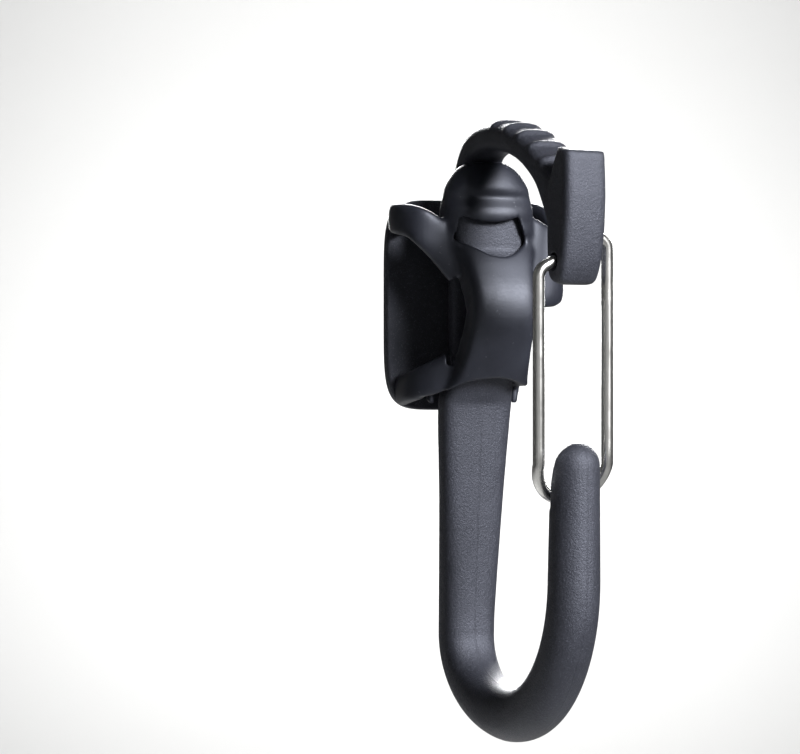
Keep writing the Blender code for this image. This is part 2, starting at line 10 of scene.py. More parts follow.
import bmesh
import bpy
import numpy as np
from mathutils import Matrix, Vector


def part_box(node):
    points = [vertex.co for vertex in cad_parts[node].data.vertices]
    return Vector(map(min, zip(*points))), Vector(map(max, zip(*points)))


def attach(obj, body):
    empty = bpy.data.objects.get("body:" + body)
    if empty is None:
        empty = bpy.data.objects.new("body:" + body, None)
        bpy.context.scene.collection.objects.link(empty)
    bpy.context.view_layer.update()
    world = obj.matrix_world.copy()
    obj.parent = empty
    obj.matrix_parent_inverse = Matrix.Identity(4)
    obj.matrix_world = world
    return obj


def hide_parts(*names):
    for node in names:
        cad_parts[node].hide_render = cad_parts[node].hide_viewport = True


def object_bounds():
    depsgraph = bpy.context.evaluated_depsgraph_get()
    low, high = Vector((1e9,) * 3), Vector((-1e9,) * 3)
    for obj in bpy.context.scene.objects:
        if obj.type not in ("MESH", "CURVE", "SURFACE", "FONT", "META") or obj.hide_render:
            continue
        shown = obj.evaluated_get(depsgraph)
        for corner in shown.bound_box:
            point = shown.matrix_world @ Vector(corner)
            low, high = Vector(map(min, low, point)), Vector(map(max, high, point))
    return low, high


bl_info = {
    "name": "Harness gear carrier",
    "version": (1, 0, 0),
    "blender": (4, 5, 0),
    "location": "View3D > Sidebar > Carrier",
    "description": "Builds a harness gear carrier with a wire gate and a rubber keeper",
    "category": "Add Mesh",
}

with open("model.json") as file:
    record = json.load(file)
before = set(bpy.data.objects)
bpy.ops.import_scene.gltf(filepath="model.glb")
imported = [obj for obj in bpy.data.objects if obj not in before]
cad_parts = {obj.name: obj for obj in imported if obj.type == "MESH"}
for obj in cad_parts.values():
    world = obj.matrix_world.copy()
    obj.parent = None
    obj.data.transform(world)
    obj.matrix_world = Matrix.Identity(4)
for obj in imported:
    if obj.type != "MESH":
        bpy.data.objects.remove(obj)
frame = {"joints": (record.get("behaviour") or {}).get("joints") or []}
CAD_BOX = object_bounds()
HINGE = frame["joints"][0]
HINGE_POINT = np.array(HINGE["pos_m"], float)
HINGE_AXIS = np.array(HINGE["axis"], float) / np.linalg.norm(HINGE["axis"])
LOOP_LEAN = math.radians(25)        # how far the gate's bottom loop is bent back
SIDEWAYS = np.array([0.0, 1.0, 0.0])
UPWARDS = np.array([0.0, 0.0, 1.0])


# ---- sizes and colours -----------------------------------------------------------------------
def length(name, description, default):
    """A length in metres."""
    return bpy.props.FloatProperty(name=name, description=description, default=default,
                                   unit="LENGTH", precision=5)


def colour(name, description, default):
    """A linear colour."""
    return bpy.props.FloatVectorProperty(name=name, description=description, default=default,
                                         subtype="COLOR", size=3, min=0.0, max=1.0)


class CarrierHookSizes(bpy.types.PropertyGroup):
    """Sizes of the moulded hook."""

    spine_half_width: length("Spine half width", "Half the spine's width under the saddle", 0.0070)
    spine_half_thickness: length("Spine half thickness", "Half the spine's thickness", 0.0031)
    foot_half_width: length("Foot half width", "Half the spine's width where the basket starts", 0.0052)
    waist_half_width: length("Waist half width", "Half the width under the keeper's waist", 0.0044)
    prong_half_width: length("Prong half width", "Half the prong's width under the hood", 0.0073)
    limb_radius: length("Limb radius", "Radius of the limb that carries the nose", 0.0046)
    basket_half_thickness: length("Basket half thickness", "Half the basket's thickness", 0.0048)
    arch_half_width: length("Arch half width", "Half the arch's width", 0.0041)
    arch_half_thickness: length("Arch half thickness", "Half the arch's thickness", 0.0026)
    block_half_width: length("Block half width", "Half the gate block's width", 0.0042)
    rib_height: length("Rib height", "How far a thumb rib stands out of the arch", 0.0007)
    voxel: length("Surface grid", "Grid that the joined surface is rebuilt on", 0.00036)


class CarrierGateSizes(bpy.types.PropertyGroup):
    """Sizes of the wire gate."""

    wire_radius: length("Wire radius", "Radius of the gate's wire", 0.00105)
    half_width: length("Half width", "From the middle plane to the middle of a leg", 0.00685)
    loop_top: length("Loop top", "Height where the legs bend into the bottom loop", -0.0284)
    bend_radius: length("Bend radius", "Bend where each leg turns into the block", 0.0022)
    stub_depth: length("Stub depth", "How far each end reaches into the block", 0.0030)


class CarrierKeeperSizes(bpy.types.PropertyGroup):
    """Sizes of the rubber keeper."""

    arm_half_height: length("Arm half height", "Half an arm's height", 0.0028)
    arm_half_thickness: length("Arm half thickness", "Half an arm's thickness", 0.0013)
    fit_gap: length("Fit gap", "Clearance round the hook", 0.0003)
    window_low: length("Window foot", "Lowest point of the window under the hood", 0.0085)
    voxel: length("Surface grid", "Grid that the joined surface is rebuilt on", 0.00034)


class CarrierColours(bpy.types.PropertyGroup):
    """Colours of the materials."""

    nylon: colour("Nylon", "Moulded hook", (0.0085, 0.0090, 0.0125))
    nylon_pale: colour("Nylon, pale", "Rubbed and dusty nylon", (0.0190, 0.0200, 0.0260))
    rubber: colour("Rubber", "Keeper", (0.0050, 0.0055, 0.0085))
    rubber_pale: colour("Rubber, pale", "Bloom on the keeper", (0.0100, 0.0110, 0.0160))
    plate: colour("Plate nylon", "Back plate", (0.0080, 0.0082, 0.0100))
    steel: colour("Steel", "Gate wire", (0.640, 0.635, 0.620))
    backdrop: colour("Backdrop", "Floor and curved wall", (0.64, 0.64, 0.635))


# ---- surfaces --------------------------------------------------------------------------------
def smooth_rows(knots, per_span):
    """Rows on a Catmull-Rom curve through the knots: each column is carried along it."""
    knots = np.asarray(knots, float)
    padded = np.vstack([2 * knots[0] - knots[1], knots, 2 * knots[-1] - knots[-2]])
    a, b, c, d = (padded[k:len(knots) - 1 + k, None, :] for k in range(4))
    t = (np.arange(per_span) / per_span)[None, :, None]
    rows = 0.5 * (2 * b + (c - a) * t + (2 * a - 5 * b + 4 * c - d) * t ** 2
                  + (3 * b - a - 3 * c + d) * t ** 3)
    return np.vstack([rows.reshape(-1, knots.shape[1]), knots[-1]])


def carried_section(rows, across, around=64):
    """A superellipse section carried along a path, as a grid of points.

    Each row is x, y, z, half width, half thickness, squareness. With angle t round the section,
    the width is half width times |cos t| to the power 2 / squareness, with the sign of cos t,
    and the thickness is the same with sin t. The width lies along `across`, square to the path.
    """
    rows = np.asarray(rows, float)
    path = rows[:, :3]
    tangent = np.gradient(path, axis=0)
    tangent /= np.linalg.norm(tangent, axis=1, keepdims=True)
    wide = across - tangent * (tangent @ across)[:, None]
    wide /= np.linalg.norm(wide, axis=1, keepdims=True)
    deep = np.cross(tangent, wide)
    angle = np.arange(around) * 2 * np.pi / around
    power = 2 / rows[:, 5:6]
    along = np.sign(np.cos(angle)) * np.abs(np.cos(angle)) ** power * rows[:, 3:4]
    out = np.sign(np.sin(angle)) * np.abs(np.sin(angle)) ** power * rows[:, 4:5]
    return path[:, None] + wide[:, None] * along[..., None] + deep[:, None] * out[..., None]


def outline_slab(outline, axis, low, high):
    """A flat outline carried straight along X, Y or Z: its two remaining coordinates are given."""
    outline = np.asarray(outline, float)
    others = [k for k in range(3) if k != axis]
    grid = np.zeros((2, len(outline), 3))
    grid[..., others] = outline
    grid[0, :, axis] = low
    grid[1, :, axis] = high
    return grid


def shell_mesh(name, grids):
    """One mesh of closed shells, each a grid of rings with flat ends, facing out."""
    points = []
    faces = []
    start = 0
    for grid in grids:
        count, around = grid.shape[:2]
        index = start + np.arange(count * around).reshape(count, around)
        beside = np.roll(index, -1, axis=1)
        quads = np.stack([index[:-1], beside[:-1], beside[1:], index[1:]], axis=-1).reshape(-1, 4)
        points.append(grid.reshape(-1, 3))
        faces.extend(quads.tolist())
        faces.append(index[0][::-1].tolist())
        faces.append(index[-1].tolist())
        start += count * around
    mesh = bpy.data.meshes.new(name)
    mesh.from_pydata(np.vstack(points).tolist(), [], faces)
    edit = bmesh.new()
    edit.from_mesh(mesh)
    bmesh.ops.recalc_face_normals(edit, faces=edit.faces)
    edit.to_mesh(mesh)
    edit.free()
    return mesh


def placed(name, mesh):
    """An object at the origin for a mesh whose place is in its points."""
    item = bpy.data.objects.new(name, mesh)
    bpy.context.scene.collection.objects.link(item)
    return item


def moulded(name, bodies, cuts, voxel, smoothing):
    """Bodies melted into one moulding: joined on a fine grid, cut, rebuilt and eased at the edges.

    The cuts are joined on the same grid first, so that the cutter is one closed body.
    """
    item = placed(name, shell_mesh(name, bodies))
    add_remesh(item, voxel)
    cutter = placed(f"{name}_cutter", shell_mesh(f"{name}_cutter", cuts))
    add_remesh(cutter, voxel)
    step = item.modifiers.new("cut", "BOOLEAN")
    step.operation = "DIFFERENCE"
    step.object = cutter
    add_remesh(item, voxel)
    ease = item.modifiers.new("ease", "SMOOTH")
    ease.factor = 0.5
    ease.iterations = smoothing
    depsgraph = bpy.context.evaluated_depsgraph_get()
    finished = bpy.data.meshes.new_from_object(item.evaluated_get(depsgraph))
    item.modifiers.clear()
    item.data = finished
    bpy.data.objects.remove(cutter, do_unlink=True)
    finished.shade_smooth()
    return item


def add_remesh(item, voxel):
    """Rebuild the surface on a grid, which joins shells that overlap."""
    step = item.modifiers.new("rebuild", "REMESH")
    step.mode = "VOXEL"
    step.voxel_size = voxel
    step.use_smooth_shade = True


# ---- hook ------------------------------------------------------------------------------------
SPINE_FOOT_X = 0.0065
SPINE_TOP_X = 0.0100
SPINE_TOP_Z = -0.0175
SPINE_LENGTH = 0.0430
PRONG_X = 0.0142
PRONG_LOW = 0.0113
PRONG_TOP = 0.0249
WAIST_X = 0.0172
WAIST_Z = -0.0015
SPINE_LINE_Z = (SPINE_TOP_Z + WAIST_Z) / 2
FOOT_Z = SPINE_TOP_Z - SPINE_LENGTH
BASKET_LOW_X = 0.0240
BASKET_DROP = 0.0134
BASKET_RISE = 0.0254
LIMB_X = 0.0464
LIMB_LEAN = 0.0004
LIMB_FOOT_Z = FOOT_Z - BASKET_DROP + BASKET_RISE
NOSE_TOP = -0.0244
ARCH_TOP = 0.0296
ARCH_TOP_X = 0.0235
ARCH_LIMB_X = 0.0077
ARCH_LIMB_HALF_THICKNESS = 0.0016
RIB_COUNT = 5
RIB_PITCH = 0.0045
RIB_RADIUS = 0.0010
RIB_SINK = 0.0009
HOOK_EASING = 3


def spine_rows(sizes, grow=0.0):
    """Prong, waist and spine from the top down; `grow` thickens the section evenly."""
    thick = sizes.spine_half_thickness
    prong = sizes.prong_half_width
    waist = sizes.waist_half_width
    spine = sizes.spine_half_width
    foot = sizes.foot_half_width
    knots = [
        (PRONG_X, 0, PRONG_TOP, prong * 0.58, thick * 0.62, 2.4),
        (PRONG_X, 0, PRONG_TOP - 0.0022, prong * 0.84, thick * 0.84, 2.8),
        (PRONG_X, 0, PRONG_TOP - 0.0070, prong, thick * 0.90, 4.4),
        (PRONG_X, 0, PRONG_LOW, prong, thick * 0.90, 4.8),
        (PRONG_X + 0.0002, 0, PRONG_LOW - 0.0026, prong * 0.96, thick * 0.90, 4.8),
        (WAIST_X - 0.0002, 0, (PRONG_LOW + WAIST_Z) / 2 - 0.0010, waist * 1.15, thick * 0.95, 4),
        (WAIST_X, 0, WAIST_Z, waist, thick * 0.95, 4),
        (WAIST_X - 0.0030, 0, SPINE_LINE_Z, waist * 1.16, thick, 4),
        (SPINE_TOP_X + 0.0008, 0, SPINE_TOP_Z + 0.0020, spine * 0.96, thick, 3.4),
        (SPINE_TOP_X - 0.0004, 0, SPINE_TOP_Z - 0.0020, spine, thick, 3.2),
        (SPINE_TOP_X - 0.0016, 0, SPINE_TOP_Z - 0.4 * SPINE_LENGTH, spine * 0.88, thick, 3.0),
        (SPINE_FOOT_X + 0.0003, 0, SPINE_TOP_Z - 0.86 * SPINE_LENGTH, foot * 1.02, thick * 1.04, 3.0),
        (SPINE_FOOT_X, 0, FOOT_Z, foot, thick * 1.1, 2.8),
    ]
    rows = smooth_rows(knots, 12)
    rows[:, 3:5] += grow
    return rows


def basket_rows(sizes, steps=36):
    """Two quarter ellipses, one down from the spine's foot and one up to the limb's foot.

    On the first, x falls back from the lowest point by its half axis times cos t and z falls by
    the drop times sin t. On the second, x runs out by sin t and z rises by 1 - cos t.
    """
    share = np.arange(1, steps + 1)[:, None] / steps
    angle = share * np.pi / 2
    none = np.zeros_like(share)
    low = sizes.basket_half_thickness
    foot = sizes.spine_half_thickness * 1.1
    limb = sizes.limb_radius
    down = np.hstack([BASKET_LOW_X - (BASKET_LOW_X - SPINE_FOOT_X) * np.cos(angle), none,
                      FOOT_Z - BASKET_DROP * np.sin(angle),
                      sizes.foot_half_width + (limb - sizes.foot_half_width) * share,
                      foot + (low - foot) * share, 2.8 - 0.6 * share])
    up = np.hstack([BASKET_LOW_X + (LIMB_X - LIMB_LEAN - BASKET_LOW_X) * np.sin(angle), none,
                    LIMB_FOOT_Z - BASKET_RISE * np.cos(angle), none + limb,
                    low + (limb - low) * share, 2.2 - 0.2 * share])
    return np.vstack([down, up])


def nose_rows(sizes):
    """The limb, leaning a little outwards, with a domed tip whose radius falls as a cosine."""
    limb = sizes.limb_radius
    tip = limb * 0.94
    shoulder = NOSE_TOP - tip
    share = np.arange(1, 9)[:, None] / 8
    radius = limb + (tip - limb) * share
    straight = np.hstack([LIMB_X - LIMB_LEAN * (1 - share), 0 * share,
                          LIMB_FOOT_Z + (shoulder - LIMB_FOOT_Z) * share, radius, radius, 2 + 0 * share])
    angle = np.linspace(0.15, 1.5, 12)[:, None]
    dome = np.hstack([LIMB_X - 0.0005 * np.sin(angle), 0 * angle, shoulder + tip * np.sin(angle),
                      tip * np.cos(angle), tip * np.cos(angle), 2 + 0 * angle])
    return np.vstack([straight, dome])


def arch_rows(sizes, per_span=12):
    """Up behind the prong, over it and down into the gate block."""
    half = sizes.arch_half_thickness
    wide = sizes.arch_half_width
    limb = ARCH_LIMB_HALF_THICKNESS
    knots = [
        (SPINE_TOP_X, 0, SPINE_TOP_Z - 0.0010, wide * 0.8, limb, 3.4),
        (ARCH_LIMB_X + 0.0006, 0, SPINE_LINE_Z, wide, limb, 3.4),
        (ARCH_LIMB_X, 0, 0.0025, wide, limb, 3.4),
        (ARCH_LIMB_X, 0, PRONG_LOW + 0.0050, wide, limb * 1.05, 3.4),
        (ARCH_LIMB_X + 0.0036, 0, ARCH_TOP - 0.0041, wide, half * 0.9, 3.2),
        (ARCH_TOP_X - 0.0080, 0, ARCH_TOP - 0.0006, wide, half, 3.0),
        (ARCH_TOP_X, 0, ARCH_TOP, wide, half, 3.0),
        (ARCH_TOP_X + 0.0085, 0, ARCH_TOP - 0.0023, wide, half, 3.0),
        (ARCH_TOP_X + 0.0155, 0, ARCH_TOP - 0.0066, wide, half * 1.04, 3.2),
        (ARCH_TOP_X + 0.0195, 0, ARCH_TOP - 0.0112, wide, half * 1.2, 3.4),
        (ARCH_TOP_X + 0.0225, 0, ARCH_TOP - 0.0170, wide, half * 1.2, 3.4),
    ]
    return smooth_rows(knots, per_span)


def block_rows(sizes):
    """The gate block from the foot up: rounded foot, bellied front, a lip above the arch."""
    wide = sizes.block_half_width
    foot = 0.0027
    top = 0.0261
    fronts_and_backs = [
        (foot + 0.0001, 0.0466, 0.0440, 0.66),
        (foot + 0.0006, 0.0475, 0.0433, 0.83),
        (foot + 0.0018, 0.0484, 0.0429, 0.93),
        (foot + 0.0050, 0.0496, 0.0428, 0.98),
        (foot + 0.0100, 0.0505, 0.0428, 1.00),
        (foot + 0.0150, 0.05085, 0.0430, 1.00),
        (top - 0.0060, 0.0509, 0.0436, 0.99),
        (top - 0.0030, 0.0508, 0.0448, 0.97),
        (top - 0.0009, 0.0507, 0.0459, 0.95),
        (top - 0.0002, 0.0505, 0.0465, 0.92),
        (top, 0.0502, 0.0469, 0.88),
    ]
    knots = [((front + back) / 2, 0, z, wide * share, (front - back) / 2, 5.5)
             for z, front, back, share in fronts_and_backs]
    return smooth_rows(knots, 8)


def rib_grids(sizes):
    """Thumb ribs across the arch's front half: round bars with domed ends, sunk into it.

    With u from -1 to 1 across the arch, a bar sinks by u cubed and thins by the sixth power of u.
    """
    rows = arch_rows(sizes)
    path = rows[:, (0, 2)]
    step = np.linalg.norm(np.diff(path, axis=0), axis=1)
    travelled = np.concatenate([[0], np.cumsum(step)])
    heading = np.gradient(path, axis=0)
    heading /= np.linalg.norm(heading, axis=1, keepdims=True)
    across = np.linspace(-1, 1, 25)
    grids = []
    for k in range(RIB_COUNT):
        at = travelled[np.argmax(path[:, 1])] + (k + 0.5) * RIB_PITCH
        middle = np.array([np.interp(at, travelled, path[:, i]) for i in (0, 1)])
        along = np.array([np.interp(at, travelled, heading[:, i]) for i in (0, 1)])
        outward = np.array([-along[1], along[0]])
        sink = RIB_SINK * np.abs(across) ** 3
        stand = sizes.arch_half_thickness + sizes.rib_height - RIB_RADIUS - sink
        bar = np.zeros((len(across), 6))
        bar[:, 0] = middle[0] + outward[0] * stand
        bar[:, 1] = across * sizes.arch_half_width * 0.90
        bar[:, 2] = middle[1] + outward[1] * stand
        bar[:, 3:5] = (RIB_RADIUS * (1 - 0.3 * across ** 6))[:, None]
        bar[:, 5] = 2
        grids.append(carried_section(bar, np.array([1.0, 0, 0]), 32))
    return grids


def nose_seat(gate):
    """Cutter for the sloped lead-in and the seat where the gate's loop rests."""
    bottom = gate.loop_top - gate.half_width * math.cos(LOOP_LEAN)
    seat = HINGE_POINT[0] - gate.half_width * math.sin(LOOP_LEAN) + gate.wire_radius + 0.0009
    ledge = bottom - gate.wire_radius - 0.00045
    lead_in = bottom + gate.wire_radius + 0.0014
    far = seat + (NOSE_TOP - lead_in) * 0.37
    outline = [(seat, ledge), (seat, lead_in), (far, NOSE_TOP), (far, NOSE_TOP + 0.005),
               (LIMB_X - 0.014, NOSE_TOP + 0.005), (LIMB_X - 0.014, ledge)]
    return outline_slab(outline, 1, -0.01, 0.01)


def straight_bar(start, end, radius):
    """A round bar between two points."""
    rows = np.zeros((2, 6))
    rows[:, :3] = (start, end)
    rows[:, 3:5] = radius
    rows[:, 5] = 2
    return carried_section(rows, np.array([1.0, 0, 0]), 32)


def gate_bores(sizes, gate):
    """Cutters for the two blind holes on the hinge's line."""
    reach = sizes.block_half_width / HINGE_AXIS[1]
    radius = gate.wire_radius + 0.0003
    return [straight_bar(HINGE_POINT + HINGE_AXIS * side * (reach + 0.002),
                         HINGE_POINT + HINGE_AXIS * side * (reach - gate.stub_depth - 0.0003), radius)
            for side in (-1, 1)]


# ---- keeper ----------------------------------------------------------------------------------
INSIDE_PLATE = 0.0012
ARM_Z = 0.0158
BACK_REACH = 0.0022         # the open back stops this far behind the hook's front face
LIMB_ROWS = 84              # rows of the arch that pass through the keeper
KEEPER_EASING = 2


def sleeve_rows():
    """Hood, side straps and saddle from the crown down."""
    levels = [
        # height, middle x, half width, front x, squareness
        (0.0260, PRONG_X, 0.0024, 0.0154, 2.2),
        (0.0255, PRONG_X, 0.0042, 0.0163, 2.2),
        (0.0243, PRONG_X, 0.0060, 0.0172, 2.2),
        (0.0228, PRONG_X, 0.0072, 0.0179, 2.3),
        (0.0213, PRONG_X, 0.0080, 0.0183, 2.5),
        (0.0203, PRONG_X, 0.0083, 0.0183, 2.6),
        (0.0194, PRONG_X, 0.0085, 0.0179, 2.7),
        (0.0185, PRONG_X, 0.0087, 0.0182, 2.7),
        (0.0172, PRONG_X, 0.0089, 0.0188, 2.7),
        (0.0160, PRONG_X, 0.0089, 0.0190, 2.6),
        (0.0148, PRONG_X, 0.0089, 0.0188, 2.8),
        (0.0130, PRONG_X, 0.0090, 0.0187, 3.2),
        (0.0110, PRONG_X + 0.0002, 0.0087, 0.0182, 4.0),
        (0.0085, PRONG_X + 0.0006, 0.0080, 0.0190, 5.5),
        (0.0050, WAIST_X - 0.0010, 0.0069, 0.0208, 7.0),
        (0.0010, WAIST_X, 0.0064, 0.0223, 8.0),
        (-0.0025, WAIST_X - 0.0002, 0.0063, 0.0224, 8.0),
        (-0.0065, WAIST_X - 0.0012, 0.0065, 0.0209, 8.0),
        (-0.0100, WAIST_X - 0.0026, 0.0070, 0.0193, 7.0),
        (-0.0130, WAIST_X - 0.0044, 0.0079, 0.0177, 6.0),
        (-0.0160, WAIST_X - 0.0058, 0.0089, 0.0164, 5.0),
        (-0.0185, WAIST_X - 0.0066, 0.0093, 0.0154, 4.4),
    ]
    knots = [(middle, 0, z, wide, front - middle, square) for z, middle, wide, front, square in levels]
    return smooth_rows(knots, 6)


def arm_grids(sizes):
    """Four flat arms from the saddle's corners back to the plate.

    The keeper sits twisted: on the far side the upper arm sags and stands forward, and the lower
    arm is drawn in behind the spine.
    """
    near_upper = [
        (WAIST_X - 0.0012, 0.0052, 0.0068, 1.5, 1.1),
        (WAIST_X - 0.0024, 0.0092, 0.0108, 1.3, 1.1),
        (WAIST_X - 0.0042, 0.0136, 0.0144, 1.1, 1.0),
        (WAIST_X - 0.0098, 0.0149, ARM_Z - 0.0003, 1.0, 1.0),
        (INSIDE_PLATE, 0.0108, ARM_Z, 1.0, 1.3),
    ]
    near_lower = [
        (WAIST_X - 0.0028, 0.0056, -0.0118, 1.35, 1.1),
        (WAIST_X - 0.0058, 0.0096, -0.0136, 1.1, 1.0),
        (WAIST_X - 0.0098, 0.0117, -0.0150, 1.0, 1.0),
        (INSIDE_PLATE, 0.0108, -ARM_Z, 1.0, 1.3),
    ]
    far_upper = [
        (WAIST_X - 0.0014, 0.0050, 0.0072, 3.3, 1.1),
        (WAIST_X - 0.0012, 0.0094, 0.0064, 3.0, 1.1),
        (WAIST_X - 0.0022, 0.0141, 0.0052, 1.5, 1.0),
        (WAIST_X - 0.0098, 0.0149, ARM_Z - 0.0002, 1.0, 1.0),
        (INSIDE_PLATE, 0.0108, ARM_Z, 1.0, 1.3),
    ]
    far_lower = [
        (WAIST_X - 0.0030, 0.0056, -0.0116, 1.25, 1.0),
        (WAIST_X - 0.0052, 0.0076, -0.0130, 1.1, 1.0),
        (WAIST_X - 0.0098, 0.0084, -0.0150, 1.0, 1.0),
        (INSIDE_PLATE, 0.0074, -ARM_Z, 1.0, 1.3),
    ]
    grids = []
    for side, arms in ((-1, (near_upper, near_lower)), (1, (far_upper, far_lower))):
        for knots in arms:
            rows = [(x, side * y, z, sizes.arm_half_height * tall, sizes.arm_half_thickness * thick, 3.0)
                    for x, y, z, tall, thick in knots]
            grids.append(carried_section(smooth_rows(rows, 12), UPWARDS, 40))
    return grids


def window_cut(sizes):
    """The window under the hood: six sides, with a hanging top edge and a rounded foot.

    The foot is a smooth curve through its knots. It sits a little to the near side.
    """
    y = np.linspace(-0.0069, 0.0044, 13)
    top = np.stack([y, 0.0147 + 0.0011 * ((y + 0.0012) / 0.0056) ** 2], axis=1)
    low = sizes.window_low
    foot = smooth_rows([(0.0061, 0.0116), (0.0058, 0.0108), (0.0039, low + 0.0009), (0.0014, low),
                        (-0.0018, low + 0.0003), (-0.0050, 0.0103), (-0.0078, 0.0114), (-0.0080, 0.0122)], 5)
    outline = np.vstack([top, foot])
    return outline_slab(outline, 0, PRONG_X, PRONG_X + 0.012)


def keeper_cuts(sizes, hook):
    """Cutters for the keeper: the hook itself, the open back, the window, the foot and the plate."""
    cavity = spine_rows(hook, sizes.fit_gap)
    cavity[0, 2] += sizes.fit_gap
    limb = arch_rows(hook)[:LIMB_ROWS]
    limb[:, 3:5] += 2 * sizes.fit_gap
    behind = hook.spine_half_thickness - BACK_REACH
    back = [(-0.01, -0.022), (SPINE_TOP_X + behind, -0.022), (WAIST_X - 0.0030 + behind, SPINE_LINE_Z),
            (WAIST_X + behind, WAIST_Z), (PRONG_X + behind - 0.0020, 0.0123), (-0.01, 0.0123)]
    y = np.linspace(-0.016, 0.016, 65)
    edge = smooth_rows([(-0.0160, -0.0174), (-0.0125, -0.0172), (-0.0091, -0.0163), (-0.0057, -0.0143),
                        (0, -0.0135), (0.0039, -0.0140), (0.0062, -0.0148), (0.0095, -0.0150),
                        (0.0160, -0.0150)], 8)
    foot = np.vstack([np.stack([y, np.interp(y, edge[:, 0], edge[:, 1])], axis=1),
                      [(0.016, -0.030), (-0.016, -0.030)]])
    return {
        "open_back": outline_slab(back, 1, -0.008, 0.008),
        "cavity": carried_section(cavity, SIDEWAYS, 48),
        "limb": carried_section(limb, SIDEWAYS, 48),
        "window": window_cut(sizes),
        "foot": outline_slab(foot, 0, 0.0095, 0.03),
        "plate": outline_slab([(-0.02, -0.04), (0.02, -0.04), (0.02, 0.04), (-0.02, 0.04)], 0, -0.01, 0.0023),
    }


# ---- wire ------------------------------------------------------------------------------------
def bend(before, corner, after, radius, steps=14):
    """Points round a corner of the given radius between two straight runs."""
    into = (corner - before) / np.linalg.norm(corner - before)
    out = (after - corner) / np.linalg.norm(after - corner)
    turn = math.acos(np.clip(into @ out, -1, 1))
    start = corner - into * radius * math.tan(turn / 2)
    inward = out - into * (into @ out)
    inward /= np.linalg.norm(inward)
    swept = np.linspace(0, turn, steps)[:, None]
    return start + into * radius * np.sin(swept) + inward * radius * (1 - np.cos(swept))


def gate_path(sizes, hook):
    """The wire's middle line: stub, leg, bottom loop leaning back, leg, stub.

    The loop is a half circle between the legs, tipped back about the line through its two ends.
    """
    corner_reach = sizes.half_width / HINGE_AXIS[1]
    stub_reach = hook.block_half_width / HINGE_AXIS[1] - sizes.stub_depth
    near_end, near_corner, far_corner, far_end = (
        HINGE_POINT + HINGE_AXIS * reach for reach in (-stub_reach, -corner_reach, corner_reach, stub_reach))
    x = HINGE_POINT[0]
    near_foot = np.array([x, -sizes.half_width, sizes.loop_top])
    far_foot = np.array([x, sizes.half_width, sizes.loop_top])
    share = np.linspace(0, 1, 14)[1:-1, None]
    angle = np.linspace(0, np.pi, 41)
    drop = sizes.half_width * np.sin(angle)
    loop = np.stack([x - drop * math.sin(LOOP_LEAN), -sizes.half_width * np.cos(angle),
                     sizes.loop_top - drop * math.cos(LOOP_LEAN)], axis=1)
    near_bend = bend(near_end, near_corner, near_foot, sizes.bend_radius)
    far_bend = bend(far_foot, far_corner, far_end, sizes.bend_radius)
    return np.vstack([near_end, near_bend, near_bend[-1] + (near_foot - near_bend[-1]) * share, loop,
                      far_foot + (far_bend[0] - far_foot) * share, far_bend, far_end])


def wire_mesh(name, path, radius, around=28):
    """A round wire along the path with chamfered ends and its own map: u round it, v along it."""
    rows = np.zeros((len(path), 6))
    rows[:, :3] = path
    rows[:, 3:5] = radius
    rows[:, 5] = 2
    for end, inner in ((0, 1), (-1, -2)):
        rows[end, 3:5] = radius * 0.8
        rows[inner, :3] = rows[end, :3] + (rows[inner, :3] - rows[end, :3]) * 0.12
    grid = carried_section(rows, np.array([1.0, 0, 0]), around)
    mesh = shell_mesh(name, [grid])
    travelled = np.concatenate([[0], np.cumsum(np.linalg.norm(np.diff(rows[:, :3], axis=0), axis=1))])
    loops = np.zeros(len(mesh.loops), dtype=np.int32)
    mesh.loops.foreach_get("vertex_index", loops)
    ring = loops % around
    u = ring / around
    first = np.zeros(len(mesh.polygons), dtype=np.int32)
    total = np.zeros(len(mesh.polygons), dtype=np.int32)
    mesh.polygons.foreach_get("loop_start", first)
    mesh.polygons.foreach_get("loop_total", total)
    face = np.repeat(np.arange(len(total)), total)[np.argsort(np.repeat(first, total), kind="stable")]
    wraps = np.zeros(len(total), dtype=bool)
    np.maximum.at(wraps, face, ring == around - 1)
    crosses = wraps[face] & (ring == 0)
    u = np.where(crosses, 1.0, u)
    chart = mesh.uv_layers.new(name="along_wire")
    chart.data.foreach_set("uv", np.stack([u, travelled[loops // around] * 100], axis=1).ravel())
    mesh.shade_smooth()
    mesh.set_sharp_from_angle(angle=math.radians(40))
    return mesh


# ---- materials -------------------------------------------------------------------------------
NYLON_SPECK = (0.095, 0.100, 0.125)
RUBBER_SPECK = (0.10, 0.105, 0.12)


